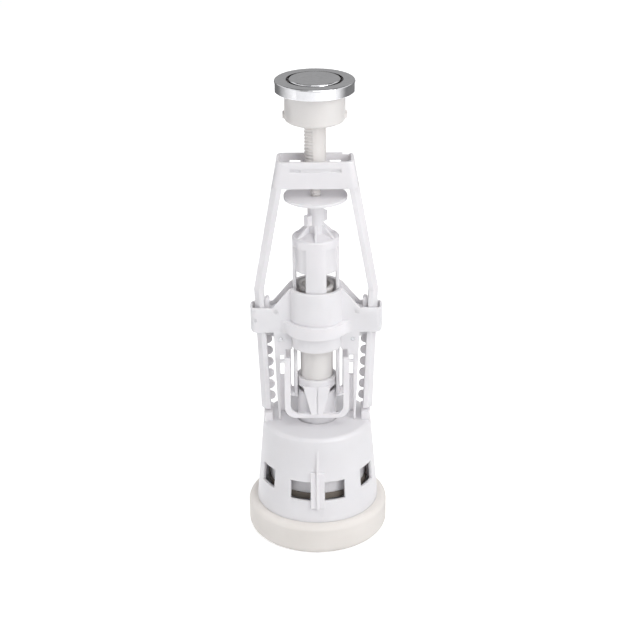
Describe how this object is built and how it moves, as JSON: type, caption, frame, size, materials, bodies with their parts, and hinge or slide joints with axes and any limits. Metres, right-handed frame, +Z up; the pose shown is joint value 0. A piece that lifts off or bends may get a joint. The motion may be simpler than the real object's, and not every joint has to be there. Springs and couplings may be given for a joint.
{
  "type": "toilet flush valve",
  "caption": "Top-button cistern flush valve: sliding rack frame, push rod, rocker levers that lift a standpipe with float and seal, windowed body and thick base gasket.",
  "frame": {"origin": "centre of the base gasket's lower face", "axes": "+Z up along the valve's axis, towards the button; -Y towards the viewer, +X to the right"},
  "size_m": [0.096, 0.096, 0.321],
  "materials": {
    "white_plastic": "satin moulded plastic",
    "ivory_plastic": "satin ivory plastic",
    "ivory_foam": "soft matte ring",
    "seal_rubber": "matte rubber",
    "chrome": "bright plated",
    "pin_steel": "drawn",
    "spring_steel": "drawn wire"
  },
  "bodies": {
    "body": {"base_gasket": "ivory_foam", "outlet_seat": "white_plastic", "valve_body": "white_plastic", "guide_collar": "white_plastic", "left_lever_pin": "pin_steel", "right_lever_pin": "pin_steel"},
    "lift": {"overflow_tube": "ivory_plastic", "lift_ring": "white_plastic", "lift_yoke": "white_plastic", "float_bell": "white_plastic", "main_seal": "seal_rubber", "seal_retainer": "white_plastic"},
    "left_rocker": {"left_lever": "white_plastic"},
    "right_rocker": {"right_lever": "white_plastic"},
    "left_catch": {"left_latch": "white_plastic"},
    "right_catch": {"right_latch": "white_plastic"},
    "pusher": {"pusher_cap": "white_plastic"},
    "disc": {"adjusting_disc": "white_plastic"},
    "rod": {"push_rod": "ivory_plastic"},
    "frame": {"top_frame": "white_plastic", "threaded_tube": "ivory_plastic", "button_housing": "ivory_plastic", "button_bezel": "chrome", "button_spring": "spring_steel"},
    "button": {"push_button": "chrome", "button_stem": "ivory_plastic"}
  },
  "joints": [
    {"name": "frame_height", "type": "slide", "parent": "body", "child": "frame", "axis": [0, 0, 1], "range_m": [0, 0.034]},
    {"name": "button_press", "type": "slide", "parent": "frame", "child": "button", "axis": [0, 0, -1], "range_m": [0, 0.006], "stiffness_N_per_m": 400, "springref_m": -0.002, "deforming": ["button_spring"]},
    {"name": "pusher_slide", "type": "slide", "parent": "body", "child": "pusher", "axis": [0, 0, -1], "range_m": [0, 0.006]},
    {"name": "lift_slide", "type": "slide", "parent": "body", "child": "lift", "axis": [0, 0, 1], "range_m": [0, 0.00703]},
    {"name": "left_rock", "type": "hinge", "parent": "body", "child": "left_rocker", "pos_m": [-0.0242, 0, 0.1435], "axis": [0, -1, 0], "range_deg": [0, 34.05]},
    {"name": "right_rock", "type": "hinge", "parent": "body", "child": "right_rocker", "pos_m": [0.0242, 0, 0.1435], "axis": [0, 1, 0], "range_deg": [0, 34.05]},
    {"name": "left_release", "type": "hinge", "parent": "body", "child": "left_catch", "pos_m": [-0.027, 0, 0.1635], "axis": [0, 1, 0], "range_deg": [0, 12], "stiffness_Nm_per_rad": 0.02, "springref_deg": -11.46},
    {"name": "right_release", "type": "hinge", "parent": "body", "child": "right_catch", "pos_m": [0.027, 0, 0.1635], "axis": [0, -1, 0], "range_deg": [0, 12], "stiffness_Nm_per_rad": 0.02, "springref_deg": -11.46},
    {"name": "disc_turn", "type": "hinge", "parent": "pusher", "child": "disc", "pos_m": [0, 0, 0.2425], "axis": [0, 0, 1], "continuous": true},
    {"name": "rod_adjust", "type": "slide", "parent": "pusher", "child": "rod", "axis": [0, 0, 1], "range_m": [0, 0.03401]}
  ],
  "couplings": [
    {"joint": "pusher_slide", "follows": "button_press", "ratio": 1},
    {"joint": "lift_slide", "follows": "button_press", "ratio": 1.1695},
    {"joint": "left_rock", "follows": "button_press", "rad_per_m": 98.902},
    {"joint": "right_rock", "follows": "button_press", "rad_per_m": 98.902},
    {"joint": "rod_adjust", "follows": "frame_height", "ratio": 1}
  ]
}
